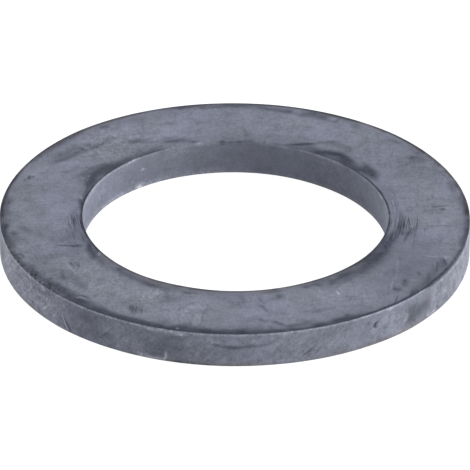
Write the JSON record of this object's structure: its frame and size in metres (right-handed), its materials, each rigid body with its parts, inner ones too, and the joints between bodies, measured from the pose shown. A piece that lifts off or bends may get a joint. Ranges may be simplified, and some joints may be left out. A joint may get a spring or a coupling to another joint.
{
  "type": "flat gasket",
  "caption": "Flat round rubber gasket with a wide plain sealing face on both sides, a straight outer wall and a straight bore.",
  "frame": {"origin": "centre of the ring on its lower sealing face, which is the face that it lies on", "axes": "+Z is the ring's axis and points up out of the upper sealing face; the ring is round, so +X and +Y are free"},
  "size_m": [0.065, 0.065, 0.005],
  "materials": {
    "grey_rubber": "dull moulded rubber with a faint blue-grey bloom, rubbed dark along the rims"
  },
  "bodies": {
    "root": {"sealing_ring": "grey_rubber"}
  },
  "joints": []
}
